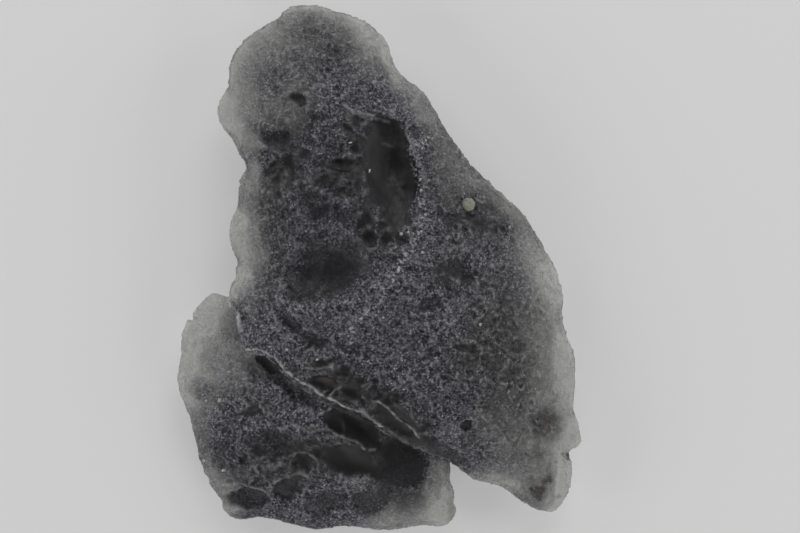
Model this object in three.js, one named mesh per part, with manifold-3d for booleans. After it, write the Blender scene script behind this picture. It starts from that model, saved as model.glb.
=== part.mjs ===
// Raw obsidian: a thin natural flake of frosted volcanic glass, in two layers of one piece.
// Millimetres. The stone lies on its back: +Z points up out of its face, +Y runs along it to the
// narrow head, +X points to its right. The origin is under the middle of the stone, where it rests.

import * as THREE from 'three';
import { mergeVertices } from 'three/addons/utils/BufferGeometryUtils.js';
import { ImprovedNoise } from 'three/addons/math/ImprovedNoise.js';
import Module from 'manifold-3d';

const wasm = await Module();
wasm.setup();

// Driving dimensions

const rimThickness = 1.1; // the thin see-through edge
const rimRound = 0.35; // how far in from the edge the rim reaches that thickness
const faceBevel = 7.5; // the face nears its full height over this distance from the rim
const backBevel = 7; // and the back its full depth over this one
const ledgeBevel = 0.7; // the back under the ledge is a steep wall
const ledgeHeights = [5.4, 7.0]; // the rim is a ledge where it stands this high over the lobe
const bellyDepth = 1.4; // how far the back would bulge under the resting plane
const lumpHeight = 0.16; // low uneven relief all over
const lumpLength = 3.1;
const reliefFade = 1.2; // relief fades out this near the rim
const rimBlend = 0.2; // how softly the heights of two stretches of rim blend between them
const clearBox = [80, 80, 5]; // wider than the stone, deeper than its belly
const nearZero = 1e-6;

// Domes: the broad height of a face, highest at its crown, and its fall at one spread away from it

const frontDome = { crown: [2.0, -3.5, 10.6], spread: [16, 27], fall: [2.0, 3.2] };
const lobeDome = { crown: [-5.0, -13.0, 7.4], spread: [14, 12], fall: [0.9, 0.9] };
const backDome = { crown: [0, -4.0, -bellyDepth], spread: [16, 24], fall: [0, 0] };

// Rims: closed curves through [x, y, z], anticlockwise from the right, as seen from above.
// z is the height of the thin edge over the surface that the stone rests on.

const frontRim = [
  [17.6, -0.1, 4.3], [15.1, 4.3, 4.5], [13.6, 6.2, 4.8], [9.5, 9.9, 5.2], [7.3, 12.7, 5.3],
  [4.9, 16.8, 5.0], [3.8, 18.1, 4.7], [1.9, 19.6, 4.4], [1.2, 20.9, 4.2], [0.7, 22.6, 4.0],
  [-0.6, 24.2, 3.9], [-2.5, 25.3, 3.8], [-4.4, 25.8, 3.9], [-5.7, 26.3, 4.1], [-9.0, 26.2, 4.4],
  [-10.3, 24.9, 4.7], [-12.5, 23.6, 5.0], [-14.2, 21.9, 5.2], [-14.9, 20.1, 5.2], [-15.0, 18.2, 5.0],
  [-15.9, 16.9, 4.6], [-15.9, 14.9, 4.6], [-14.8, 13.4, 5.0], [-13.7, 11.4, 5.5], [-13.1, 10.2, 5.8],
  [-13.8, 8.8, 5.6], [-14.0, 6.5, 5.5], [-14.8, 4.2, 5.2], [-14.7, 2.5, 5.2], [-14.0, 0.7, 5.5],
  [-14.5, -1.4, 5.6], [-15.0, -3.0, 5.9], [-14.1, -4.5, 6.5], [-13.7, -6.2, 6.9], [-13.0, -8.1, 7.2],
  [-11.2, -8.4, 7.4], [-9.7, -9.9, 7.5], [-7.6, -11.6, 7.6], [-5.3, -13.1, 7.7], [-2.9, -14.2, 7.6],
  [-1.1, -14.7, 7.4], [0.6, -16.1, 7.0], [4.9, -18.2, 5.7], [6.8, -18.9, 5.1], [9.5, -20.9, 4.5],
  [12.2, -21.6, 4.1], [14.8, -23.5, 3.7], [17.3, -24.4, 3.2], [19.0, -22.2, 3.3], [19.3, -19.8, 3.6],
  [18.9, -18.3, 3.9], [20.2, -17.3, 4.0], [19.4, -14.3, 4.3], [19.4, -8.8, 4.7], [18.2, -5.3, 4.6],
  [18.3, -2.9, 4.4],
];
const lobeRim = [
  [7.6, -24.6, 2.7], [7.3, -21.9, 3.0], [7.0, -19.4, 3.4], [8.2, -12.5, 2.6], [5.4, -6.5, 2.0],
  [0.0, -2.2, 1.8], [-6.5, 0.6, 2.2], [-12.4, -1.6, 3.2], [-14.9, -3.0, 3.8], [-16.6, -2.4, 3.6],
  [-17.5, -3.1, 3.4], [-18.8, -4.7, 3.2], [-18.4, -5.2, 3.2], [-19.5, -5.2, 3.1], [-19.9, -8.6, 3.0],
  [-20.2, -10.6, 2.9], [-20.1, -12.4, 2.7], [-19.4, -13.9, 2.5], [-18.8, -15.7, 2.3],
  [-18.2, -18.7, 2.1], [-17.7, -20.5, 2.0], [-16.8, -22.1, 2.0], [-16.0, -23.3, 2.1],
  [-15.6, -24.5, 2.2], [-14.0, -25.2, 2.3], [-12.1, -24.9, 2.3], [-9.4, -25.5, 2.1],
  [-6.4, -26.2, 1.9], [-3.3, -25.8, 1.9], [0.4, -26.3, 2.1], [4.3, -25.7, 2.3], [6.5, -25.8, 2.5],
];

// Hollows: shallow scoops left where the melt's bubbles and flakes came away.
// at is the middle, size the half length and half width, turn the angle of the length from +X.

const frontHollows = [
  { at: [1.1, 9.9], size: [6.2, 3.0], turn: -75, depth: 1.3 }, // the long hollow beside the ridge
  { at: [-5.6, -0.3], size: [4.8, 3.6], turn: 5, depth: 0.9 },
  { at: [-1.0, 3.0], size: [1.5, 1.2], turn: 70, depth: 0.4 },
  { at: [-3.8, 10.4], size: [1.6, 1.4], turn: 0, depth: 0.5 },
  { at: [-10.5, 13.0], size: [2.4, 1.3], turn: 0, depth: 0.5 },
  { at: [-8.0, 16.9], size: [1.3, 1.2], turn: 0, depth: 0.4 },
  { at: [7.8, -1.4], size: [3.0, 2.8], turn: 0, depth: 0.6 },
  { at: [4.6, -3.7], size: [1.8, 1.6], turn: 0, depth: 0.3 },
  { at: [-4.9, 4.4], size: [2.2, 1.7], turn: 20, depth: 0.4 },
  { at: [-10.9, 3.9], size: [1.9, 1.6], turn: 60, depth: 0.35 },
  { at: [-8.7, -5.9], size: [1.5, 1.3], turn: 0, depth: 0.45 },
  { at: [-6.2, -7.2], size: [2.4, 1.2], turn: -5, depth: 0.45 },
  { at: [-5.5, -11.3], size: [2.3, 1.5], turn: -18, depth: 0.9 },
  { at: [-2.7, -12.1], size: [1.6, 1.1], turn: -30, depth: 0.5 },
  { at: [2.1, -15.5], size: [3.0, 1.3], turn: -42, depth: 0.8 },
  { at: [8.9, -15.6], size: [1.3, 1.1], turn: 0, depth: 0.35 },
  { at: [7.6, -7.7], size: [2.3, 1.2], turn: 0, depth: 0.3 },
  { at: [11.1, -13.7], size: [1.9, 1.2], turn: 0, depth: 0.3 },
];
const lobeHollows = [
  { at: [-11.3, -9.8], size: [2.5, 1.6], turn: -22, depth: 1.0 }, // the oval hollow under the arch
  { at: [-7.3, -12.6], size: [2.6, 1.2], turn: -35, depth: 0.6 },
  { at: [-2.6, -15.9], size: [4.2, 2.0], turn: -20, depth: 0.9 },
  { at: [-3.4, -18.9], size: [3.0, 1.8], turn: -15, depth: 0.6 },
  { at: [-7.7, -19.1], size: [2.0, 1.6], turn: 0, depth: 0.4 },
  { at: [-12.9, -14.2], size: [1.9, 1.3], turn: 0, depth: 0.35 },
  { at: [-14.4, -15.8], size: [1.7, 1.4], turn: 0, depth: 0.3 },
  { at: [-13.4, -19.1], size: [1.1, 0.9], turn: 0, depth: 0.3 },
  { at: [-12.9, -22.6], size: [3.2, 2.0], turn: 10, depth: 0.6 },
  { at: [-8.9, -22.2], size: [2.8, 1.7], turn: 25, depth: 0.5 },
];
const backHollows = [
  { at: [9.0, 3.0], size: [6.5, 4.5], turn: 50, depth: -1.0 },
  { at: [-6.5, 16.0], size: [5.5, 4.0], turn: -60, depth: -0.9 },
  { at: [11.5, -12.0], size: [5.0, 6.0], turn: 15, depth: -0.9 },
  { at: [-9.5, 3.5], size: [3.6, 5.0], turn: 10, depth: -0.7 },
];

// Ridges: low crests along a line of points.

const frontRidges = [
  { // the rough seam down the middle of the face
    line: [[4.2, 12.6], [3.2, 11.7], [3.6, 9.6], [4.1, 7.6], [4.2, 5.2], [3.8, 3.2], [1.9, 0.2], [0, -2.9], [-2.4, -6.2]],
    width: 0.9,
    height: 0.45,
  },
  { line: [[-0.2, -13.3], [1.2, -14.5], [2.9, -15.7], [4.1, -16.9]], width: 0.6, height: 0.4 },
];
const lobeRidges = [
  { line: [[-4.6, -16.4], [-2.6, -17.2], [-1.5, -18.0], [-0.5, -18.1]], width: 0.6, height: 0.5 },
];

// Relief

const noise = new ImprovedNoise();

function lumps(x, y, level) {
  const broad = noise.noise(x / lumpLength, y / lumpLength, level);
  const fine = noise.noise(2 * x / lumpLength, 2 * y / lumpLength, level + 7.5);
  return lumpHeight * (2 * broad + fine);
}

function scoopDepth(x, y, { at, size, turn, depth }) {
  const angle = THREE.MathUtils.degToRad(turn);
  const along = (x - at[0]) * Math.cos(angle) + (y - at[1]) * Math.sin(angle);
  const across = (y - at[1]) * Math.cos(angle) - (x - at[0]) * Math.sin(angle);
  const reach = (along / size[0]) ** 2 + (across / size[1]) ** 2;
  return reach < 1 ? depth * (1 - reach) : 0;
}

function distanceToLine(x, y, line) {
  const point = new THREE.Vector3(x, y, 0);
  const nearest = new THREE.Vector3();
  let least = Infinity;
  for (let i = 1; i < line.length; i += 1) {
    const piece = new THREE.Line3(new THREE.Vector3(...line[i - 1], 0), new THREE.Vector3(...line[i], 0));
    piece.closestPointToPoint(point, true, nearest);
    least = Math.min(least, nearest.distanceTo(point));
  }
  return least;
}

function crestHeight(x, y, { line, width, height }) {
  return height * Math.exp(-((distanceToLine(x, y, line) / width) ** 2));
}

function relief(x, y, { hollows, ridges, level }) {
  let height = lumps(x, y, level);
  for (const hollow of hollows) {
    height -= scoopDepth(x, y, hollow);
  }
  for (const ridge of ridges) {
    height += crestHeight(x, y, ridge);
  }
  return height;
}

// A layer: a lens of glass that thins from its middle to its rim.
// An octahedron gives its rings: its equator becomes the rim, its poles the middle of face and back.

function ringPlace(point) {
  const across = Math.abs(point.x) + Math.abs(point.y);
  const ring = across / (across + Math.abs(point.z));
  if (across < nearZero) {
    return { ring: 0, turn: 0 };
  }
  const share = Math.abs(point.y) / across;
  if (point.y >= 0) {
    return { ring, turn: (point.x >= 0 ? share : 2 - share) / 4 };
  }
  return { ring, turn: (point.x < 0 ? 2 + share : 4 - share) / 4 };
}

// How far in from the rim a place is, and the height of the rim near it
function rimNear(x, y, rimPoints) {
  const place = new THREE.Vector3(x, y, 0);
  const nearest = new THREE.Vector3();
  let inward = Infinity;
  let heights = 0;
  let weights = 0;
  for (let i = 0; i < rimPoints.length; i += 1) {
    const next = rimPoints[(i + 1) % rimPoints.length];
    place.z = (rimPoints[i].z + next.z) / 2;
    new THREE.Line3(rimPoints[i], next).closestPointToPoint(place, true, nearest);
    const gap = Math.hypot(nearest.x - x, nearest.y - y);
    const weight = 1 / (gap * gap + rimBlend) ** 2;
    inward = Math.min(inward, gap);
    heights += weight * nearest.z;
    weights += weight;
  }
  return { inward, rimHeight: heights / weights };
}

function domeHeight(x, y, { crown, spread, fall }) {
  return crown[2] - fall[0] * ((x - crown[0]) / spread[0]) ** 2 - fall[1] * ((y - crown[1]) / spread[1]) ** 2;
}

function surfaceHeight(x, y, side, surface, rimPoints) {
  const { inward, rimHeight } = rimNear(x, y, rimPoints);
  const bluntness = (rimThickness / 2) * (1 - Math.exp(-inward / rimRound));
  const swell = 1 - Math.exp(-inward / surface.bevel(rimHeight));
  const shaping = relief(x, y, surface) * Math.min(1, inward / reliefFade);
  return rimHeight + side * bluntness + (domeHeight(x, y, surface.dome) - rimHeight) * swell + shaping;
}

function layer({ middle, rim, ringCount, face, back }) {
  const curve = new THREE.CatmullRomCurve3(rim.map((point) => new THREE.Vector3(...point)), true);
  const rimPoints = curve.getPoints(4 * ringCount).slice(0, -1);
  const rings = new THREE.OctahedronGeometry(1, ringCount - 1);
  rings.deleteAttribute('normal');
  rings.deleteAttribute('uv');
  const geometry = mergeVertices(rings);
  const places = geometry.attributes.position;
  const point = new THREE.Vector3();
  for (let i = 0; i < places.count; i += 1) {
    point.fromBufferAttribute(places, i);
    const { ring, turn } = ringPlace(point);
    const edge = curve.getPoint(turn % 1);
    const x = THREE.MathUtils.lerp(middle[0], edge.x, ring);
    const y = THREE.MathUtils.lerp(middle[1], edge.y, ring);
    if (Math.abs(point.z) < nearZero) {
      places.setXYZ(i, edge.x, edge.y, edge.z);
    } else {
      const side = Math.sign(point.z);
      places.setXYZ(i, x, y, surfaceHeight(x, y, side, side > 0 ? face : back, rimPoints));
    }
  }
  return geometry;
}

// Joining

function solidFrom(geometry) {
  const vertProperties = new Float32Array(geometry.attributes.position.array);
  const triVerts = new Uint32Array(geometry.index.array);
  return new wasm.Manifold(new wasm.Mesh({ numProp: 3, vertProperties, triVerts }));
}

function geometryFrom(solid) {
  const mesh = solid.getMesh();
  const geometry = new THREE.BufferGeometry();
  geometry.setAttribute('position', new THREE.BufferAttribute(mesh.vertProperties, 3));
  geometry.setIndex(new THREE.BufferAttribute(mesh.triVerts, 1));
  geometry.computeVertexNormals();
  return geometry;
}

function boxBelow() {
  const box = new THREE.BoxGeometry(...clearBox);
  box.translate(0, 0, -clearBox[2] / 2);
  box.deleteAttribute('normal');
  box.deleteAttribute('uv');
  return mergeVertices(box);
}

// The stone

const faceSlope = () => faceBevel;

function backSlope(rimHeight) {
  return THREE.MathUtils.lerp(backBevel, ledgeBevel, THREE.MathUtils.smoothstep(rimHeight, ...ledgeHeights));
}

const frontLayer = layer({
  middle: [1.1, -0.2],
  rim: frontRim,
  ringCount: 28,
  face: { dome: frontDome, bevel: faceSlope, hollows: frontHollows, ridges: frontRidges, level: 0.5 },
  back: { dome: backDome, bevel: backSlope, hollows: backHollows, ridges: [], level: 20.5 },
});
const lobe = layer({
  middle: [-5.9, -16.1],
  rim: lobeRim,
  ringCount: 20,
  face: { dome: lobeDome, bevel: faceSlope, hollows: lobeHollows, ridges: lobeRidges, level: 3.5 },
  back: { dome: backDome, bevel: backSlope, hollows: [], ridges: [], level: 23.5 },
});

const stone = solidFrom(frontLayer).add(solidFrom(lobe)).subtract(solidFrom(boxBelow()));
const glass = new THREE.MeshStandardMaterial({ color: 0x2c2d33, roughness: 0.55, metalness: 0 });
const geometry = geometryFrom(stone);
geometry.computeBoundingBox();
const middle = geometry.boundingBox.getCenter(new THREE.Vector3());
geometry.translate(-middle.x, -middle.y, -geometry.boundingBox.min.z);
const rawObsidian = new THREE.Mesh(geometry, glass);
rawObsidian.name = 'raw_obsidian';

const group = new THREE.Group();
group.add(rawObsidian);

export default group;
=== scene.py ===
# %% [markdown]
# Raw obsidian, lying on its back on a pale table, seen from above.
# The stone is one natural piece of dark volcanic glass, frosted and pitted all over, and thin
# enough at its edges to see light through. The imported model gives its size, its outline and its
# large forms. This lesson gives it the fine skin, the glass and the light.

# %% Frame
import math
from collections import namedtuple

import bmesh
import bpy
from mathutils import Matrix, Quaternion, Vector, kdtree, noise
from mathutils.bvhtree import BVHTree


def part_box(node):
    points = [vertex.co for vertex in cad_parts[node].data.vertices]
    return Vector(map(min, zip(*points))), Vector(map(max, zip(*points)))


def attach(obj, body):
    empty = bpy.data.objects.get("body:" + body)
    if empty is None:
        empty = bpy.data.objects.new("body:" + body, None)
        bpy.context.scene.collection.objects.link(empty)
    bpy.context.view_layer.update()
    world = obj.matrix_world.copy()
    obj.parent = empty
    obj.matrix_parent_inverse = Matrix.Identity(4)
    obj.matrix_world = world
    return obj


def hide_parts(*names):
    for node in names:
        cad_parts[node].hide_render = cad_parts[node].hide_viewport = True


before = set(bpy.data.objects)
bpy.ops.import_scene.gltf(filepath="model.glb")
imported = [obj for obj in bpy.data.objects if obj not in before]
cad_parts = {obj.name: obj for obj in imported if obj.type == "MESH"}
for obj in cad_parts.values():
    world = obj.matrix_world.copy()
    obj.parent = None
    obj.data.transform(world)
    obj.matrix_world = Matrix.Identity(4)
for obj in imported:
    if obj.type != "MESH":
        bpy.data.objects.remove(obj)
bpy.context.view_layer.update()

MM = 0.001
NODE = "raw_obsidian"
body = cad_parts[NODE]
low, high = (Vector(corner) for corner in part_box(NODE))
print("stone, mm:", [round(side / MM, 1) for side in high - low])

# %% [markdown]
# The camera looks straight down, because the stone stood upright before a pale backdrop and now
# lies on its back. A long lens far away keeps the outline true. The frame is 80 mm wide at the
# height of the stone's edge, which gives ten pixels to the millimetre.

# %% Camera
FRAME_WIDTH = 80.0 * MM
LENS, SENSOR = 100.0, 36.0
RIM_HEIGHT = 4.5 * MM
FRAME_MIDDLE = (2.075 * MM, 0.2 * MM)
camera_data = bpy.data.cameras.new("camera")
camera_data.lens = LENS
camera_data.sensor_width = SENSOR
camera = bpy.data.objects.new("camera", camera_data)
camera.location = (*FRAME_MIDDLE, RIM_HEIGHT + FRAME_WIDTH * LENS / SENSOR)
camera_data.clip_start = 1 * MM
bpy.context.scene.collection.objects.link(camera)
bpy.context.scene.camera = camera
print("camera height, mm:", round(camera.location.z / MM, 1))

# %% [markdown]
# A voxel remesh turns the large flat triangles into an even net of small squares that can carry a
# fine skin. A few rounds of smoothing then melt the old facets away. The edge of the stone keeps
# its place, because only what faces up or down is smoothed.

# %% An even fine mesh
VOXEL = 0.19 * MM
SMOOTHING_ROUNDS = 15


def applied(piece, kind, **settings):
    """Applies one modifier to a piece."""
    modifier = piece.modifiers.new(kind.lower(), kind)
    for name, value in settings.items():
        setattr(modifier, name, value)
    shown = piece.evaluated_get(bpy.context.evaluated_depsgraph_get())
    mesh = bpy.data.meshes.new_from_object(shown)
    piece.modifiers.clear()
    piece.data = mesh


def smooth_step(value, start, end):
    share = min(max((value - start) / (end - start), 0.0), 1.0)
    return share * share * (3 - 2 * share)


cells = bmesh.new()
cells.from_mesh(body.data)
bmesh.ops.remove_doubles(cells, verts=cells.verts, dist=0.001 * MM)
mesh = bpy.data.meshes.new("stone_skin")
cells.to_mesh(mesh)
cells.free()
stone = bpy.data.objects.new("stone_skin", mesh)
bpy.context.scene.collection.objects.link(stone)
applied(stone, "REMESH", mode="VOXEL", voxel_size=VOXEL, adaptivity=0.0)
level = stone.vertex_groups.new(name="level")
for vertex in stone.data.vertices:
    level.add([vertex.index], smooth_step(abs(vertex.normal.z), 0.35, 0.85), "REPLACE")
applied(stone, "SMOOTH", factor=0.5, iterations=SMOOTHING_ROUNDS, vertex_group="level")
print("skin:", len(stone.data.vertices), "points,", len(stone.data.polygons), "faces")

# %% [markdown]
# The back lies on the table and needs fewer faces than the front. Decimation takes them away
# there, and leaves every square of the face as it is.

# %% Fewer faces on the back
KEPT_SHARE = 0.59
behind = stone.vertex_groups.new(name="behind")
for vertex in stone.data.vertices:
    if vertex.normal.z < -0.25:
        behind.add([vertex.index], 1.0, "REPLACE")
applied(stone, "DECIMATE", ratio=KEPT_SHARE, vertex_group="behind")
stone.vertex_groups.clear()
print("after decimation:", sum(len(face.vertices) - 2 for face in stone.data.polygons), "triangles")

# %% [markdown]
# The hollows, crests and grains of the face are placed where the eye sees them. Every point of
# the skin is therefore looked up where the camera sees it on the level of the stone's edge, and
# all places below are millimetres on that level, from the middle of the stone.

# %% Where a point is seen


def seen(place):
    """Where a point of the skin is seen on the level of the stone's edge, in millimetres."""
    stretch = (camera.location.z - RIM_HEIGHT) / (camera.location.z - place.z)
    x = FRAME_MIDDLE[0] + (place.x - FRAME_MIDDLE[0]) * stretch
    y = FRAME_MIDDLE[1] + (place.y - FRAME_MIDDLE[1]) * stretch
    return Vector((x / MM, y / MM, 0.0))


# %% [markdown]
# Smooth dark hollows lie in the frosted face, left by bubbles and by flakes that came away. Each
# is an ellipse with a middle, a half length, a half width, a turn and a depth. Noise bends the
# edges, so that none looks drawn. Inside, the glass is polished and keeps little frost.

# %% Hollows
Hollow = namedtuple("Hollow", "at size turn depth polish soft", defaults=[0.6])
HOLLOWS = [
    Hollow((1.1, 13.3), (2.7, 1.5), -53, 0.25, 0.95, 0.4),
    Hollow((2.3, 9.6), (3.3, 1.6), -70, 0.35, 1.0, 0.25),
    Hollow((2.2, 5.5), (2.5, 1.0), 67, 0.08, 0.8, 0.6),
    Hollow((0.4, 9.9), (5.4, 2.3), -76, 0.15, 1.0, 0.8),
    Hollow((3.4, 13.6), (1.2, 0.6), -30, 0.1, 0.7, 0.9),
    Hollow((-4.9, -0.1), (5.2, 3.4), 5, 0.3, 0.9, 1.0),
    Hollow((-7.6, -2.2), (2.4, 1.6), 10, 0.15, 0.7, 0.9),
    Hollow((-1.0, 3.1), (1.0, 0.7), -60, 0.25, 0.9),
    Hollow((-3.7, 10.4), (1.1, 0.9), 0, 0.25, 0.9, 0.8),
    Hollow((-10.4, 12.9), (2.0, 1.2), -10, 0.2, 0.75, 1.0),
    Hollow((-7.9, 16.8), (1.1, 0.8), -20, 0.2, 0.65, 1.0),
    Hollow((-6.0, 5.6), (1.6, 0.9), 20, 0.15, 0.7),
    Hollow((7.9, -0.1), (2.0, 1.2), -20, 0.15, 0.6),
    Hollow((4.9, -3.6), (1.7, 0.8), 10, 0.12, 0.6),
    Hollow((-9.0, -5.3), (2.2, 0.8), -42, 0.22, 0.75, 1.0),
    Hollow((-6.6, -7.0), (2.2, 0.8), -20, 0.2, 0.7, 1.0),
    Hollow((7.3, 5.1), (1.4, 0.8), -10, 0.1, 0.7, 0.9),
    Hollow((9.7, 4.8), (1.6, 0.6), -15, 0.1, 0.6, 0.9),
    Hollow((-3.2, -8.0), (1.5, 0.7), -10, 0.15, 0.6),
    Hollow((8.5, -7.9), (1.3, 0.5), -5, 0.15, 0.7),
    Hollow((13.4, -7.7), (1.6, 0.7), 0, 0.1, 0.5),
    Hollow((8.9, -15.7), (0.8, 0.6), 30, 0.22, 0.8, 0.9),
    Hollow((13.0, -10.6), (1.1, 0.7), 20, 0.1, 0.5),
    Hollow((-5.6, -11.3), (1.8, 0.8), -15, 0.15, 0.95, 0.4),
    Hollow((-2.5, -12.2), (1.6, 0.9), -25, 0.12, 0.85, 0.6),
    Hollow((1.6, -15.1), (2.6, 1.1), -40, 0.15, 0.95, 0.5),
    Hollow((6.5, -18.4), (4.2, 0.8), -25, 0.05, 0.7),
    Hollow((-11.1, -9.6), (2.0, 0.9), -30, 0.06, 0.95, 0.6),
    Hollow((-9.3, -11.6), (1.8, 0.7), -38, 0.1, 0.7, 0.8),
    Hollow((-7.6, -12.9), (2.0, 0.8), -35, 0.1, 0.6),
    Hollow((-2.7, -15.8), (3.6, 1.5), -30, 0.15, 1.0, 0.3),
    Hollow((-0.5, -17.6), (2.6, 0.9), -32, 0.1, 0.9, 0.5),
    Hollow((-2.6, -19.2), (3.6, 1.8), -15, 0.2, 1.0),
    Hollow((1.6, -19.6), (3.8, 3.0), -20, 0.05, 0.95, 0.5),
    Hollow((2.8, -23.0), (2.8, 2.4), 0, 0.0, 0.7, 1.0),
    Hollow((-12.7, -14.3), (1.3, 0.8), 0, 0.25, 0.8),
    Hollow((-10.8, -17.6), (3.6, 1.6), -5, 0.1, 0.6),
    Hollow((-13.7, -19.1), (0.6, 0.4), 0, 0.2, 0.9),
    Hollow((-12.3, -21.2), (0.4, 0.3), 0, 0.15, 0.8),
    Hollow((-19.0, -8.6), (0.9, 2.4), -4, 0.12, 0.1, 0.3),
    Hollow((-7.6, -19.3), (1.3, 1.0), 0, 0.25, 0.8),
    Hollow((-9.3, -22.1), (1.6, 1.2), 40, 0.3, 0.9),
    Hollow((-13.0, -22.9), (2.6, 1.3), 5, 0.3, 0.7),
    Hollow((-5.4, -23.4), (3.2, 1.4), 10, 0.2, 0.7, 0.9),
    Hollow((-0.5, -23.0), (3.2, 2.0), 10, 0.1, 0.8, 0.9),
]
WIDE_BEND, FINE_BEND = 0.45, 0.2


def squeezed(patch):
    """A patch's middle, and the turn and scale that make its ellipse a circle of radius 1."""
    turn = Matrix.Rotation(math.radians(-patch.turn), 3, "Z")
    return Vector((*patch.at, 0)), Matrix.Diagonal((1 / patch.size[0], 1 / patch.size[1], 1)) @ turn, patch


def bent(place, spot):
    """A seen place moved a little by noise, so that what is drawn with it gets a ragged edge."""
    shift = noise.noise_vector(place / (1.4 * MM)) * WIDE_BEND
    shift += noise.noise_vector(place / (0.5 * MM)) * FINE_BEND
    return Vector((spot.x + shift.x, spot.y + shift.y, 0))


HOLLOW_FORMS = [squeezed(hollow) for hollow in HOLLOWS]


def hollowed(spot):
    """How deep the hollows take a point, in millimetres, and how polished they leave it."""
    depth, polish = 0.0, 0.0
    for middle, form, hollow in HOLLOW_FORMS:
        share = 1 - (form @ (spot - middle)).length_squared
        if share > 0:
            depth = max(depth, hollow.depth * smooth_step(share, 0, 0.8))
            polish = max(polish, hollow.polish * smooth_step(share, 0, hollow.soft))
    return depth, polish


# %% [markdown]
# Real obsidian is banded: some of its melt is clearer, some smokier, and iron stains a little of
# it brown. Clouds change how clear the glass is, and so how much painted glow its thin parts get.
# The frost lies unevenly too, thinner over the basin of the upper face. A few frost patches are a
# painted shadow instead: they darken the band along the broken edge of the upper layer. These
# clouds, frost patches and stains are patches as well, but they change only how the glass looks.

# %% Clouds in the glass
Patch = namedtuple("Patch", "at size turn amount")
CLOUDS = [
    Patch((-7.0, -11.2), (6.8, 1.3), -38, -0.8),
    Patch((0.2, -14.6), (5.4, 1.8), -35, -0.8),
    Patch((7.1, -20.2), (1.3, 5.2), 0, 0.25),
    Patch((18.2, -14.2), (1.3, 3.6), 0, -0.25),
    Patch((-16.9, -8.7), (1.6, 2.6), 0, -0.25),
    Patch((-10.4, 4.5), (1.9, 8.5), 5, -0.5),
    Patch((-4.0, -26.0), (14.0, 3.6), 0, -0.6),
    Patch((15.0, -19.6), (4.6, 2.2), 0, -0.35),
    Patch((1.6, 18.8), (2.6, 3.0), 30, -0.3),
    Patch((-6.0, 24.5), (5.5, 2.2), 0, -0.25),
    Patch((-10.0, -18.5), (13.5, 10.0), 0, -0.5),
    Patch((-15.8, -16.5), (4.6, 6.0), 10, -0.35),
    Patch((-9.0, -23.5), (10.0, 4.0), 0, -0.4),
    Patch((3.0, -19.3), (6.8, 5.0), -20, -0.6),
    Patch((9.0, -18.8), (3.6, 3.2), -25, -0.6),
    Patch((15.0, -23.3), (4.8, 2.8), 30, -0.6),
    Patch((16.6, -15.6), (1.8, 2.6), 0, -0.6),
    Patch((16.0, -22.3), (1.2, 1.0), 0, -0.35),
    Patch((16.9, -21.1), (0.9, 0.6), 30, -0.3),
    Patch((18.6, -21.0), (0.3, 1.3), -15, -0.35),
    Patch((18.1, -22.7), (0.4, 0.5), 0, -0.35),
    Patch((17.0, -20.3), (0.3, 1.6), 0, -0.2),
    Patch((19.4, -16.0), (0.6, 1.3), 0, 0.7),
    Patch((18.8, -18.7), (0.55, 0.65), 0, -0.95),
    Patch((18.2, -20.8), (0.6, 2.4), -8, 0.6),
    Patch((17.6, -1.0), (2.6, 3.0), 0, 0.6),
    Patch((18.6, -9.0), (1.8, 5.5), 0, 0.35),
    Patch((18.9, -7.4), (0.5, 1.0), 0, 0.8),
    Patch((18.9, -9.9), (0.4, 0.6), 0, 0.8),
    Patch((14.5, 4.0), (3.4, 3.0), -50, -0.3),
    Patch((8.5, 9.5), (6.5, 3.2), -52, -0.3),
    Patch((1.3, 21.3), (1.3, 3.4), 12, 0.5),
    Patch((-2.6, 19.0), (4.6, 6.0), 15, -0.4),
    Patch((-9.0, 22.5), (8.5, 5.5), 10, -0.45),
    Patch((-2.2, 9.5), (8.0, 10.5), -12, -0.9),
    Patch((11.0, 5.0), (4.8, 3.6), -35, -0.5),
    Patch((4.0, 14.5), (3.0, 4.5), 35, -0.3),
    Patch((-11.0, 12.6), (3.4, 3.0), 0, -0.5),
    Patch((-12.6, 17.0), (4.5, 4.5), 0, -0.3),
    Patch((-15.6, 15.3), (1.1, 2.6), 0, 0.4),
    Patch((-12.8, 9.5), (2.6, 3.2), 0, -0.3),
    Patch((-13.0, 6.2), (2.0, 1.8), 0, -0.4),
    Patch((-10.0, 10.8), (2.2, 2.4), 0, -0.4),
    Patch((-12.0, 3.6), (1.2, 2.4), 0, -0.3),
    Patch((-14.3, 4.1), (1.2, 1.9), 0, 0.9),
    Patch((-13.8, -1.4), (1.7, 1.9), 0, 0.9),
    Patch((-14.8, -5.5), (2.2, 2.6), 0, -0.4),
    Patch((-17.6, -4.4), (1.5, 1.6), 0, 0.2),
    Patch((-19.1, -8.9), (0.8, 2.3), -4, 0.8),
    Patch((-18.5, -5.9), (0.7, 0.9), 0, 0.4),
    Patch((-17.9, -12.0), (1.8, 1.3), 0, -0.4),
]
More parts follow.
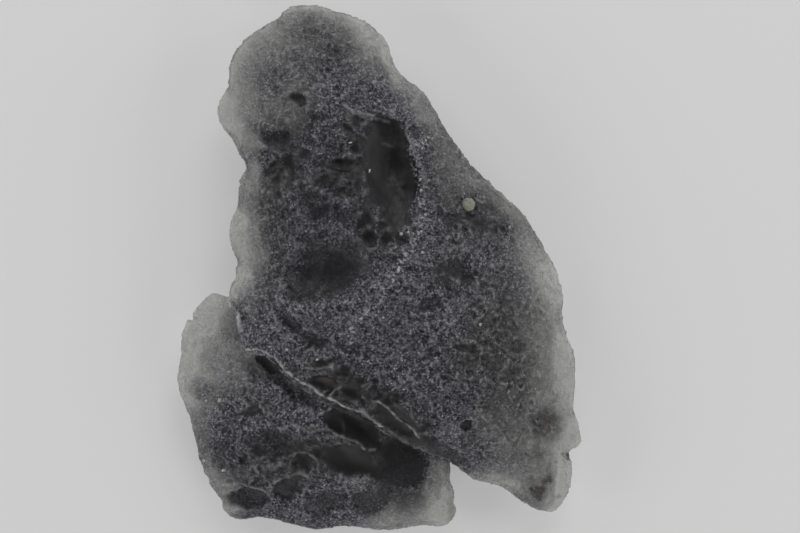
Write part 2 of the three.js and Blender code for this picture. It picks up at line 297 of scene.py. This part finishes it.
FROST_AND_SHADOW_PATCHES = [
    Patch((-4.6, 7.5), (8.8, 11.8), -10, -0.5),
    Patch((-8.8, 15.6), (3.2, 2.8), 0, -0.55),
    Patch((-9.6, 11.0), (2.8, 3.6), 0, -0.35),
    Patch((-1.6, 14.6), (2.8, 3.4), 10, -0.35),
    Patch((-4.6, 9.2), (3.2, 2.2), 0, -0.3),
    Patch((1.6, 4.6), (2.0, 3.2), 0, -0.35),
    # Painted shadow: this patch and the next darken the band along the broken edge of the upper layer.
    Patch((-8.2, -11.4), (4.2, 1.5), -38, -0.4),
    Patch((3.2, -16.6), (4.5, 1.6), -32, -0.5),
    Patch((0.4, 6.6), (3.4, 8.0), 12, -0.4),
    Patch((-6.0, -1.6), (5.2, 2.8), 8, -0.35),
    Patch((-0.8, 21.3), (2.8, 3.6), 0, -0.25),
    Patch((1.0, 17.2), (3.0, 2.6), 0, 0.15),
    Patch((-13.0, -6.2), (2.6, 1.4), 0, 0.3),
    Patch((-5.0, -5.4), (8.5, 2.8), -12, 0.28),
    Patch((10.0, 4.4), (5.0, 3.0), -25, -0.4),
    Patch((7.2, -0.9), (3.8, 2.6), 0, -0.5),
    Patch((6.8, -8.4), (5.5, 2.4), -5, -0.35),
    Patch((5.8, -12.6), (5.5, 2.2), -5, -0.25),
    Patch((-7.6, -15.0), (4.2, 2.4), -10, 0.15),
    Patch((11.5, -12.5), (7.5, 7.0), 0, 0.10),
    # Painted shadow along the broken edge of the upper layer.
    Patch((-2.7, -12.4), (7.6, 3.4), -34, -0.75),
    Patch((-3.0, -18.4), (7.5, 3.2), -15, -0.55),
    Patch((-9.8, -19.6), (8.0, 4.0), 0, -0.65),
    # Painted shadow along the broken edge of the upper layer.
    Patch((2.4, -15.0), (5.2, 2.6), -35, -0.5),
    Patch((-9.0, 20.0), (4.0, 4.0), 0, 0.10),
]
HAZES = [
    Patch((14.0, -9.5), (9.0, 11.5), 0, 0.85),
    Patch((16.5, -19.0), (3.6, 6.5), 0, 0.6),
    Patch((9.5, 8.5), (5.5, 9.5), 38, 0.7),
    Patch((-4.5, 22.5), (10.5, 6.0), 0, 0.45),
    Patch((-11.5, 2.5), (3.2, 9.5), 0, 0.45),
]
STAINS = [
    Patch((15.8, -17.8), (0.5, 2.8), 3, 0.45),
    Patch((16.7, -15.2), (0.9, 1.6), 0, 0.45),
    Patch((16.7, -20.9), (1.0, 0.7), 30, 0.35),
    Patch((16.1, -22.3), (1.0, 0.9), 0, 0.55),
    Patch((-5.3, -11.3), (1.1, 0.6), -20, 0.7),
    Patch((2.2, 8.5), (0.5, 0.5), 0, 0.7),
    Patch((7.2, -24.0), (0.6, 1.6), 0, 0.4),
]
CLOUD_FORMS = [squeezed(patch) for patch in CLOUDS]
FROST_AND_SHADOW_FORMS = [squeezed(patch) for patch in FROST_AND_SHADOW_PATCHES]
HAZE_FORMS = [squeezed(patch) for patch in HAZES]
STAIN_FORMS = [squeezed(patch) for patch in STAINS]


def patched(spot, forms):
    """What patches with soft edges add up to at a point."""
    total = 0.0
    for middle, form, patch in forms:
        share = 1 - (form @ (spot - middle)).length_squared
        if share > 0:
            total += patch.amount * smooth_step(share, 0, 1)
    return total


# %% [markdown]
# Thin bright crests run over the stone: the broken edge of the upper layer, the rims between
# hollows and a rough seam down the face. They are thin glass with a white fractured skin, and
# their white is partly a painted highlight of the light that thin edges catch. Each one is a line
# of points with a width, a height and a whiteness. A tree of points set close along all the lines
# tells how near the next crest is.

# %% Crests
Crest = namedtuple("Crest", "line width height white")
CRESTS = [
    Crest([(-15.1, -3.1), (-14.7, -3.7), (-14.2, -4.2), (-14.0, -4.8), (-13.9, -5.5), (-13.7, -6.3)],
          0.12, 0.08, 0.9),
    Crest([(-13.2, -8.1), (-12.2, -8.05), (-11.7, -8.2), (-11.1, -8.5), (-10.5, -8.8), (-9.9, -9.4)],
          0.10, 0.10, 0.9),
    Crest([(-9.9, -9.4), (-9.3, -10.2), (-8.3, -10.9), (-7.7, -11.4), (-7.0, -11.7), (-6.5, -12.0),
           (-6.0, -12.5), (-5.3, -12.85), (-4.8, -13.05), (-4.1, -13.4), (-3.5, -13.75), (-2.9, -14.0)],
          0.10, 0.10, 0.95),
    Crest([(-2.9, -14.0), (-1.4, -14.35), (-0.9, -14.85), (-0.2, -15.4), (0.4, -15.8)], 0.10, 0.09, 0.6),
    Crest([(0.4, -15.8), (1.6, -16.6), (3.0, -17.5)], 0.14, 0.03, 0.2),
    Crest([(-4.9, -12.7), (-4.4, -12.1), (-3.8, -11.8)], 0.10, 0.06, 0.35),
    Crest([(-4.9, -14.0), (-5.5, -14.3), (-6.1, -14.6)], 0.11, 0.06, 0.8),
    Crest([(-4.6, -16.4), (-3.6, -16.9), (-2.6, -17.2), (-1.9, -17.5), (-1.6, -18.0), (-1.1, -18.2),
           (-0.4, -18.1)], 0.12, 0.05, 0.6),
    Crest([(-1.3, -18.1), (-0.4, -18.1)], 0.14, 0.05, 0.9),
    Crest([(-8.7, -15.6), (-7.6, -15.9), (-7.0, -16.4), (-5.4, -16.0), (-4.6, -16.3)], 0.14, 0.06, 0.35),
    Crest([(-1.7, -12.8), (-0.8, -13.2), (-0.1, -13.3), (0.9, -14.0), (1.5, -14.7), (2.1, -15.2),
           (2.9, -15.7), (3.5, -16.3), (4.0, -16.9)], 0.10, 0.08, 0.55),
    Crest([(-7.6, -9.9), (-6.0, -10.0), (-4.6, -9.8)], 0.13, 0.06, 0.3),
    Crest([(-9.4, 0.3), (-9.9, -1.5), (-10.3, -2.9)], 0.14, 0.08, 0.35),
    Crest([(-3.6, 16.3), (-2.9, 15.9), (-2.5, 15.5)], 0.13, 0.08, 0.35),
    Crest([(-2.5, 15.7), (-1.5, 15.4), (-0.5, 15.2)], 0.13, 0.08, 0.4),
    Crest([(-0.9, 15.0), (0.1, 14.9), (1.0, 14.6)], 0.13, 0.08, 0.35),
    Crest([(17.9, -18.2), (17.8, -20.0), (17.7, -21.4), (17.2, -22.6), (16.7, -23.4)], 0.18, 0.10, 0.6),
    Crest([(18.6, -18.9), (18.9, -20.5), (18.7, -21.9)], 0.28, 0.06, 0.4),
    Crest([(-19.0, -5.2), (-18.6, -7.5), (-18.5, -9.5), (-18.6, -11.2)], 0.12, 0.05, 0.3),
    Crest([(-19.9, -11.3), (-19.2, -11.4), (-18.7, -11.4)], 0.14, 0.06, 0.6),
    Crest([(-15.5, -21.6), (-13.9, -21.4), (-12.7, -21.9), (-11.7, -22.1), (-10.7, -23.1)],
          0.15, 0.10, 0.35),
    Crest([(-10.4, -21.3), (-9.6, -20.8), (-8.2, -20.4), (-6.9, -20.8)], 0.14, 0.08, 0.3),
    Crest([(-8.9, -18.7), (-7.9, -18.4), (-6.7, -18.7), (-6.1, -19.4), (-6.1, -20.7)], 0.14, 0.08, 0.3),
]
SEAM = Crest([(5.4, 13.6), (4.6, 12.4), (3.2, 11.9), (3.5, 10.4), (4.1, 8.9), (4.1, 6.9), (4.5, 5.4),
              (4.1, 3.7), (3.3, 2.4), (1.9, 0.1), (0.6, -2.2), (-0.7, -4.2), (-2.7, -5.7), (-2.9, -7.7)],
             0.4, 0.05, 1.2)
POINT_GAP = 0.06


def along(line):
    """Points set close along a line."""
    for start, end in zip(line, line[1:]):
        start, end = Vector((*start, 0)), Vector((*end, 0))
        count = max(1, round((end - start).length / POINT_GAP))
        for step in range(count):
            yield start.lerp(end, step / count)


crest_points = [(point, crest) for crest in [*CRESTS, SEAM] for point in along(crest.line)]
crest_tree = kdtree.KDTree(len(crest_points))
for number, (point, crest) in enumerate(crest_points):
    crest_tree.insert(point, number)
crest_tree.balance()
print("crests:", len(CRESTS) + 1, "lines of", len(crest_points), "points")


def crested(place, spot):
    """How high a crest lifts a point, in millimetres, and how white it makes it."""
    wobble = noise.noise_vector(place / (0.5 * MM)) * 0.08
    _, number, gap = crest_tree.find(spot + Vector((wobble.x, wobble.y, 0)))
    crest = crest_points[number][1]
    nearness = math.exp(-(gap / crest.width) ** 2)
    if crest is SEAM:
        breaks = max(0.0, 2.6 * noise.noise(place / (0.25 * MM)) - 0.4)
    else:
        breaks = max(0.0, 0.7 + 1.1 * noise.noise(place / (0.5 * MM)))
    return crest.height * nearness, crest.white * nearness * breaks


# %% [markdown]
# A few single grains stand out of the skin: chips that catch the light, and one rounded cream
# grain. Each is a small dome over the skin. The chips are painted white as well, a painted glint.

# %% Grains
Grain = namedtuple("Grain", "at size turn height")
CHIPS = [
    Grain((1.9, -0.15), (0.28, 0.16), 80, 0.12),
    Grain((1.4, -1.2), (0.20, 0.15), 50, 0.10),
    Grain((4.3, 1.6), (0.15, 0.15), 0, 0.10),
    Grain((2.2, 3.45), (0.18, 0.16), 0, 0.08),
    Grain((2.9, 3.6), (0.14, 0.14), 0, 0.08),
    Grain((4.2, 3.7), (0.13, 0.13), 0, 0.07),
    Grain((10.1, -5.6), (0.16, 0.14), 30, 0.10),
    Grain((0.4, -4.9), (0.14, 0.14), 0, 0.08),
    Grain((-16.0, -13.2), (0.30, 0.15), 45, 0.12),
    Grain((-9.2, -8.1), (0.17, 0.15), 0, 0.10),
    Grain((-6.2, -9.1), (0.14, 0.12), 0, 0.08),
    Grain((-2.9, 12.6), (0.20, 0.11), 0, 0.08),
    Grain((-0.9, 9.8), (0.22, 0.10), 75, 0.08),
    Grain((4.1, 8.9), (0.15, 0.12), 90, 0.08),
    Grain((4.2, 7.8), (0.16, 0.13), 60, 0.08),
    Grain((13.0, 4.1), (0.15, 0.12), 60, 0.07),
    Grain((-5.9, -4.9), (0.15, 0.13), 0, 0.07),
    Grain((-17.3, -13.2), (0.12, 0.12), 0, 0.07),
    Grain((-17.5, -19.2), (0.16, 0.14), 0, 0.08),
    Grain((-15.6, -20.2), (0.18, 0.15), 0, 0.09),
]
CREAM_GRAIN = Grain((8.9, 6.35), (0.68, 0.58), -30, 0.42)
CREAM_BEND = 0.35
GRAIN_FORMS = [squeezed(grain) for grain in CHIPS]
CREAM_FORM = squeezed(CREAM_GRAIN)


def dome(spot, grain_form):
    middle, form, _ = grain_form
    return math.sqrt(max(0.0, 1 - (form @ (spot - middle)).length_squared))


# %% [markdown]
# Crests and grains are finer than the net, so the net is made finer near them: every edge there
# is cut in two, and in four under the grains.

# %% A finer net where it matters
CREST_MARGIN, GRAIN_MARGIN = 0.3, 0.25


def near_crest(spot):
    return crest_tree.find(spot)[2] < CREST_MARGIN


def near_grain(spot):
    return any(
        (spot - middle).length < max(grain.size) + GRAIN_MARGIN
        for middle, _, grain in [*GRAIN_FORMS, CREAM_FORM])


def cut_edges(cells, wanted):
    chosen = {vertex for vertex in cells.verts if vertex.normal.z > -0.3 and wanted(seen(vertex.co))}
    edges = [edge for edge in cells.edges if edge.verts[0] in chosen and edge.verts[1] in chosen]
    bmesh.ops.subdivide_edges(cells, edges=edges, cuts=1, use_grid_fill=True)
    many_sided = [face for face in cells.faces if len(face.verts) > 4]
    bmesh.ops.triangulate(cells, faces=many_sided)
    cells.normal_update()


cells = bmesh.new()
cells.from_mesh(stone.data)
cut_edges(cells, near_crest)
cut_edges(cells, near_grain)
cut_edges(cells, near_grain)
print("skin:", len(cells.verts), "points,", sum(len(face.verts) - 2 for face in cells.faces), "triangles")


# %% [markdown]
# The skin between the hollows is etched: shallow cups with broken crests between them, small round
# pits with a thin bright rim, short wandering ridges, and grains as fine as sugar over the whole.
# Scattered points give the cups and the pits: a crest lies where the two nearest points are equally
# far, and a pit lies around a point, each with a radius of its own. A ridge runs where a noise
# crosses zero. The floor of a pit is smoother and darker.

# %% Fine relief
CUP_SIZE, CUP_DEPTH = 1.6 * MM, 0.10
PIT_SIZE, PIT_DEPTH = 0.8 * MM, 0.10
GRAIN_SIZE, GRAIN_HEIGHT = 0.35 * MM, 0.05
RIDGE_SIZE, RIDGE_HEIGHT = 0.75 * MM, 0.09


def cup_crest(place, size):
    """1 on the crest between two cups, 0 on their floors."""
    distances, _ = noise.voronoi(place / size, distance_metric="DISTANCE")
    return 1 - smooth_step(distances[1] - distances[0], 0.0, 0.5)


def round_pit(place, size):
    """How deep a point lies in a round pit, from 0 to 1, and how near it is to the pit's rim."""
    distances, points = noise.voronoi(place / size, distance_metric="DISTANCE")
    radius = 0.15 + 0.35 * abs(noise.cell(points[0] * 9.7))
    share = distances[0] / radius
    return max(0.0, 1 - share ** 2), math.exp(-((share - 1.1) / 0.25) ** 2)


def ridge(place, size):
    """1 on thin wandering ridges, 0 between them."""
    return max(0.0, 1 - abs(noise.noise(place / size)) / 0.16)


def etched(place):
    """The height of the etched skin in millimetres, its frost and the white on its crests."""
    warped = place + noise.noise_vector(place / (0.9 * MM)) * (0.4 * MM)
    patches = noise.noise(place / (3.0 * MM)) * 0.5 + 0.5
    broken = smooth_step(noise.noise(place / (0.8 * MM)), -0.1, 0.3)
    cups = cup_crest(warped, CUP_SIZE)
    pit, ring = round_pit(warped + Vector((3, 2, 1)) * MM, PIT_SIZE)
    grains = noise.fractal(place / GRAIN_SIZE, 0.7, 2.0, 3)
    height = CUP_DEPTH * (0.4 + patches) * (cups - 0.4) - PIT_DEPTH * (pit - 0.4 * ring)
    ridges = broken * ridge(warped, RIDGE_SIZE)
    height += GRAIN_HEIGHT * grains + RIDGE_HEIGHT * ridges
    blotches = noise.noise(place / (0.9 * MM))
    frost = 0.56 + 0.5 * patches + 0.4 * blotches + 0.2 * (cups - 0.5) - 0.5 * pit
    return height, frost, broken * (0.08 * cups ** 4 + 0.09 * ring) + 0.12 * ridges ** 2


# %% [markdown]
# How thick the glass is under each point decides how much light comes through, and how pale its
# colour is painted: thin glass gets a near-white colour, a painted light for what shines through
# it. Rays sent inwards measure it: one straight in and four slanting. Thin glass is also smoother
# than the rest.

# %% Depth of the glass
REACH = 3.0
SLANT = math.radians(35)
START = 0.02 * MM


def clearness(tree, place, normal):
    """1 where the glass is very thin, towards 0 where it is thick."""
    side = normal.orthogonal().normalized()
    total = 0.0
    for turn in range(5):
        way = -normal
        if turn:
            tilt = Quaternion(side, SLANT)
            tilt.rotate(Quaternion(normal, turn * math.pi / 2))
            way = tilt @ way
        hit = tree.ray_cast(place + way * START, way)
        depth = hit[3] / MM if hit[0] else 0.0
        total += math.exp(-depth / REACH)
    return total / 5


tree = BVHTree.FromBMesh(cells)
clear = [clearness(tree, vertex.co, vertex.normal) for vertex in cells.verts]
print("clearness:", round(min(clear), 2), "to", round(max(clear), 2))

# %% [markdown]
# All of this is now worked into the skin, one point after another. Each point moves along its own
# normal, and none goes under the table. The finish is kept on the points as a few numbers that the
# material can read.

# %% Working the skin
RIM_SWELL = 0.06
RIM_BARE = 0.35
NIBBLE_SIZE, NIBBLE_DEPTH = 1.7 * MM, 0.22
finish = {name: [] for name in ("frost", "clear", "white", "stain", "cream", "haze")}


def worked(place, normal, clearness):
    """How far a point of the skin moves, in millimetres, and its finish."""
    spot = seen(place)
    ragged = bent(place, spot)
    up = smooth_step(normal.z, -0.1, 0.3)
    edge = 1 - smooth_step(abs(normal.z), 0.35, 0.85)
    depth, polish, lift, whiteness, chip, cream, stain = 0.0, 0.0, 0.0, 0.0, 0.0, 0.0, 0.0
    if up > 0:
        depth, polish = hollowed(ragged)
        lift, whiteness = crested(place, spot)
        chip = max(dome(spot, form) * form[2].height for form in GRAIN_FORMS)
        cream = dome(spot.lerp(ragged, CREAM_BEND), CREAM_FORM)
        stain = patched(ragged, STAIN_FORMS)
    rim = smooth_step(clearness, 0.12, 0.42)
    bare = (1 - polish * up) * (1 - RIM_BARE * rim)
    skin, frost, strokes = etched(place)
    # The frost patches thin the frost in places and lay a painted shadow along the broken edge.
    frost = min(max(frost + patched(ragged, FROST_AND_SHADOW_FORMS), 0.0), 1.0)
    height = skin * (0.15 + 0.85 * bare) * (1 - cream) + (lift - depth) * up + chip
    height += CREAM_GRAIN.height * cream
    height += edge * (RIM_SWELL + NIBBLE_DEPTH * (0.3 - round_pit(place, NIBBLE_SIZE)[0]))
    # A crest's white is partly a painted highlight along its thin edge, and a chip's white is a painted
    # glint.
    white = whiteness * up + strokes * bare + smooth_step(chip, 0.01, 0.05)
    # Painted light: how much near-white glow a point gets, from its clearness and the clouds, less in
    # polished hollows and on steep edges.
    thin_glow = clearness * max(0.0, 1 + patched(ragged, CLOUD_FORMS))
    thin_glow *= (1 - 0.85 * polish * up) * (1 - 0.3 * edge)
    haze = patched(ragged, HAZE_FORMS) + 0.5 * noise.noise(place / (3.5 * MM))
    return height, (
        frost * bare, thin_glow, min(white, 1.0), stain * up, smooth_step(cream, 0.0, 0.5),
        min(max(haze, 0.0), 0.8))


moves = []
for vertex, clearness_here in zip(cells.verts, clear):
    height, values = worked(vertex.co, vertex.normal, clearness_here)
    moves.append(vertex.normal * height * MM)
    for name, value in zip(finish, values):
        finish[name].append(value)
for vertex, move in zip(cells.verts, moves):
    vertex.co += move
    vertex.co.z = max(vertex.co.z, 0.0)
for face in cells.faces:
    face.smooth = True
cells.normal_update()
print("mean frost:", round(sum(finish["frost"]) / len(moves), 2))

# %% [markdown]
# Crests and edges are painted white, partly as wear of old glass and partly as a painted
# highlight, and pits are painted dark as a painted shade. A smoothed copy of the skin shows which
# is which: a crest stands out over it, and a pit lies under it.

# %% Crests and pits, for painted highlight and painted shade
SMOOTH_COPY_ROUNDS = 6
smooth_copy = cells.copy()
for _ in range(SMOOTH_COPY_ROUNDS):
    bmesh.ops.smooth_vert(
        smooth_copy, verts=smooth_copy.verts, factor=0.5,
        use_axis_x=True, use_axis_y=True, use_axis_z=True)
finish["relief_over_smooth"] = [
    (vertex.co - smoothed.co).dot(vertex.normal) / MM
    for vertex, smoothed in zip(cells.verts, smooth_copy.verts)]
smooth_copy.free()
print("wear, mm:", round(min(finish["relief_over_smooth"]), 3), "to", round(max(finish["relief_over_smooth"]), 3))
cells.to_mesh(stone.data)
cells.free()
for name, values in finish.items():
    stone.data.attributes.new(name, "FLOAT", "POINT").data.foreach_set("value", values)

# %% [markdown]
# Obsidian is glass: what is thick is almost black and what is thin is smoky grey. That is plain
# transmission with an absorbing volume, and thin glass is painted nearly white on top of it, a
# painted light for what shines through it. The frost on it is a rough white skin of grains, with
# sparse white specks painted on as glints.

# %% Glass
glass = bpy.data.materials.new("frosted_obsidian")
glass.use_nodes = True
nodes, links = glass.node_tree.nodes, glass.node_tree.links
shader = nodes["Principled BSDF"]
shader.inputs["IOR"].default_value = 1.49
shader.inputs["Transmission Weight"].default_value = 0.45
shader.inputs["Specular IOR Level"].default_value = 0.3
shader.inputs["Metallic"].default_value = 0.0


def node(kind, inputs=None, **settings):
    """A shader node with its settings, its plain values and its links."""
    made = nodes.new(kind)
    for name, value in settings.items():
        setattr(made, name, value)
    for name, value in (inputs or {}).items():
        if isinstance(value, bpy.types.NodeSocket):
            links.new(value, made.inputs[name])
        else:
            made.inputs[name].default_value = value
    return made


def on_points(name):
    return node("ShaderNodeAttribute", attribute_name=name).outputs["Fac"]


def ranged(value, start, end, low, high):
    sockets = {"Value": value, "From Min": start, "From Max": end, "To Min": low, "To Max": high}
    return node("ShaderNodeMapRange", sockets).outputs["Result"]


def math_of(operation, first, second):
    return node("ShaderNodeMath", {0: first, 1: second}, operation=operation).outputs[0]


def blended(share, first, second):
    made = node("ShaderNodeMix", data_type="RGBA")
    for socket, value in ((0, share), (6, first), (7, second)):
        if isinstance(value, bpy.types.NodeSocket):
            links.new(value, made.inputs[socket])
        else:
            made.inputs[socket].default_value = value
    return made.outputs[2]


coords = node("ShaderNodeTexCoord")
in_mm = node("ShaderNodeMapping", {"Vector": coords.outputs["Object"], "Scale": (1000, 1000, 1000)})
place_mm = in_mm.outputs["Vector"]
grain = node("ShaderNodeTexNoise", {"Vector": place_mm, "Scale": 4.2, "Detail": 2.0, "Roughness": 0.7})
grain = grain.outputs["Fac"]
dots = node("ShaderNodeTexVoronoi", {"Vector": place_mm, "Scale": 3.8})
dot = ranged(dots.outputs["Distance"], 0.15, 0.5, 1.0, 0.0)
brightness = ranged(dots.outputs["Color"], 0.4, 0.85, 0.0, 1.0)
salt = math_of("MULTIPLY", dot, brightness)
curves = node("ShaderNodeTexNoise", {"Vector": place_mm, "Scale": 1.9, "Detail": 1.0})
breaks = node("ShaderNodeTexNoise", {"Vector": place_mm, "Scale": 0.9, "Detail": 0.0})
aside = math_of("ABSOLUTE", math_of("SUBTRACT", curves.outputs["Fac"], 0.5), 0.0)
stroke = math_of(
    "MULTIPLY", ranged(aside, 0.006, 0.025, 1.0, 0.0), ranged(breaks.outputs["Fac"], 0.46, 0.6, 0.0, 1.0))
# Painted glints: sparse small white specks in the frost.
glint_cells = node("ShaderNodeTexVoronoi", {"Vector": place_mm, "Scale": 1.6})
glint_spot = ranged(glint_cells.outputs["Distance"], 0.06, 0.16, 1.0, 0.0)
glint_chance = ranged(glint_cells.outputs["Color"], 0.4, 0.7, 0.0, 1.0)
holes = node("ShaderNodeTexVoronoi", {"Vector": place_mm, "Scale": 1.9})
hole = math_of(
    "MULTIPLY", ranged(holes.outputs["Distance"], 0.12, 0.32, 1.0, 0.0),
    ranged(holes.outputs["Color"], 0.3, 0.6, 0.9, 0.0))

DARK_GLASS = (0.018, 0.017, 0.0205, 1)
FROST_LOW = (0.044, 0.043, 0.062, 1)
FROST_HIGH = (0.86, 0.85, 0.99, 1)
HAZE = (0.100, 0.101, 0.097, 1)
# Painted light: thin glass is painted this near-white for the light that shines through it.
THIN_GLASS_GLOW = (0.97, 0.98, 0.93, 1)
# White of crests, chips and specks: partly wear and a white fractured skin, partly painted highlight and
# painted glints.
WEAR_AND_HIGHLIGHT_WHITE = (0.95, 0.96, 0.96, 1)
RUST = (0.14, 0.105, 0.09, 1)
CREAM = (0.56, 0.56, 0.46, 1)

frost_share = on_points("frost")
thin_glow_share = on_points("clear")
sugar = math_of("ADD", ranged(grain, 0.46, 0.74, 0.0, 0.5), math_of("MULTIPLY", salt, 1.1))
sugar = math_of("ADD", sugar, math_of("MULTIPLY", stroke, 0.65))
frosting = blended(on_points("haze"), blended(sugar, FROST_LOW, FROST_HIGH), HAZE)
cover = math_of("MULTIPLY", frost_share, ranged(grain, 0.35, 0.65, 0.45, 1.7))
# Crests over the smoothed skin are painted white, partly wear and partly a painted highlight; pits under it
# get a painted shade of dark glass.
wear_and_highlight = math_of("MULTIPLY", ranged(on_points("relief_over_smooth"), 0.01, 0.06, 0.0, 0.35), frost_share)
pitted = ranged(on_points("relief_over_smooth"), -0.06, -0.01, 0.8, 0.0)
colour = blended(cover, DARK_GLASS, frosting)
colour = blended(hole, colour, DARK_GLASS)
colour = blended(pitted, colour, DARK_GLASS)
colour = blended(wear_and_highlight, colour, WEAR_AND_HIGHLIGHT_WHITE)
# Painted glints: the sparse specks turn white on the frost.
colour = blended(math_of("MULTIPLY", math_of("MULTIPLY", glint_spot, glint_chance), frost_share), colour, WEAR_AND_HIGHLIGHT_WHITE)
# Painted light: thin glass blends towards its near-white glow, a little stronger where the frost grain is
# brighter.
glow_veil = ranged(sugar, 0.0, 0.6, 0.82, 1.0)
colour = blended(math_of("MULTIPLY", ranged(thin_glow_share, 0.05, 0.258, 0.0, 0.97), glow_veil), colour, THIN_GLASS_GLOW)
colour = blended(on_points("stain"), colour, RUST)
colour = blended(on_points("white"), colour, WEAR_AND_HIGHLIGHT_WHITE)
colour = blended(on_points("cream"), colour, CREAM)
links.new(colour, shader.inputs["Base Color"])

dullness = math_of("MAXIMUM", frost_share, thin_glow_share)
gloss = ranged(on_points("white"), 0.5, 1.0, 1.0, 0.3)
links.new(math_of("MULTIPLY", ranged(dullness, 0.0, 1.0, 0.5, 0.65), gloss), shader.inputs["Roughness"])
bumps = math_of("ADD", math_of("ADD", grain, salt), math_of("SUBTRACT", stroke, hole))
bumps = math_of("MULTIPLY", bumps, frost_share)
bump = node("ShaderNodeBump", {"Height": bumps, "Strength": 1.0, "Distance": 0.1 * MM})
links.new(bump.outputs["Normal"], shader.inputs["Normal"])

absorb = node("ShaderNodeVolumeAbsorption", {"Color": (0.24, 0.25, 0.20, 1), "Density": 650.0})
links.new(absorb.outputs["Volume"], nodes["Material Output"].inputs["Volume"])
stone.data.materials.clear()
stone.data.materials.append(glass)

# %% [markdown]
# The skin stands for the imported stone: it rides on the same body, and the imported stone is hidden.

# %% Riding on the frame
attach(stone, "root")
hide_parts(NODE)

# %% [markdown]
# A wide pale table and large soft lights, with a bright room all round, so that light also comes
# in under the raised edges and shows through the thin glass, next to the glow painted into the
# thin glass. The table glows faintly, as a light table does, because the real stone stood before
# a bright backdrop.

# %% Table and light
FLOOR_SIZE = 3.0
floor_shape = bmesh.new()
bmesh.ops.create_grid(floor_shape, x_segments=1, y_segments=1, size=FLOOR_SIZE / 2)
floor_mesh = bpy.data.meshes.new("table")
floor_shape.to_mesh(floor_mesh)
floor_shape.free()
floor = bpy.data.objects.new("table", floor_mesh)
bpy.context.scene.collection.objects.link(floor)
pale = bpy.data.materials.new("pale_table")
pale.use_nodes = True
table_shader = pale.node_tree.nodes["Principled BSDF"]
table_shader.inputs["Base Color"].default_value = (0.6, 0.6, 0.6, 1)
table_shader.inputs["Roughness"].default_value = 0.8
table_shader.inputs["Emission Color"].default_value = (1, 1, 1, 1)
table_shader.inputs["Emission Strength"].default_value = 0.27
floor.data.materials.append(pale)


def soft_light(name, place, size, power):
    """An area light aimed at the stone."""
    data = bpy.data.lights.new(name, "AREA")
    data.shape = "DISK"
    data.size = size
    data.energy = power
    lamp = bpy.data.objects.new(name, data)
    lamp.location = place
    lamp.rotation_euler = (-Vector(place)).to_track_quat("-Z", "Y").to_euler()
    lamp.visible_camera = False
    bpy.context.scene.collection.objects.link(lamp)


RING_LIGHTS, RING_RADIUS, RING_ELEVATION, RING_POWER = 6, 0.5, 20.0, 0.5
for number in range(RING_LIGHTS):
    turn = math.radians(360 / RING_LIGHTS * number + 15)
    height = RING_RADIUS * math.tan(math.radians(RING_ELEVATION))
    place = (RING_RADIUS * math.cos(turn), RING_RADIUS * math.sin(turn), height)
    soft_light(f"ring_light_{number + 1}", place, 0.28, RING_POWER)
soft_light("key_light", (0.1, 0.42, 0.38), 0.4, 0.5)
world = bpy.data.worlds.new("room")
bpy.context.scene.world = world
world.use_nodes = True
world.node_tree.nodes["Background"].inputs["Color"].default_value = (1, 1, 1, 1)
world.node_tree.nodes["Background"].inputs["Strength"].default_value = 0.13
bpy.context.scene.view_settings.view_transform = "Standard"
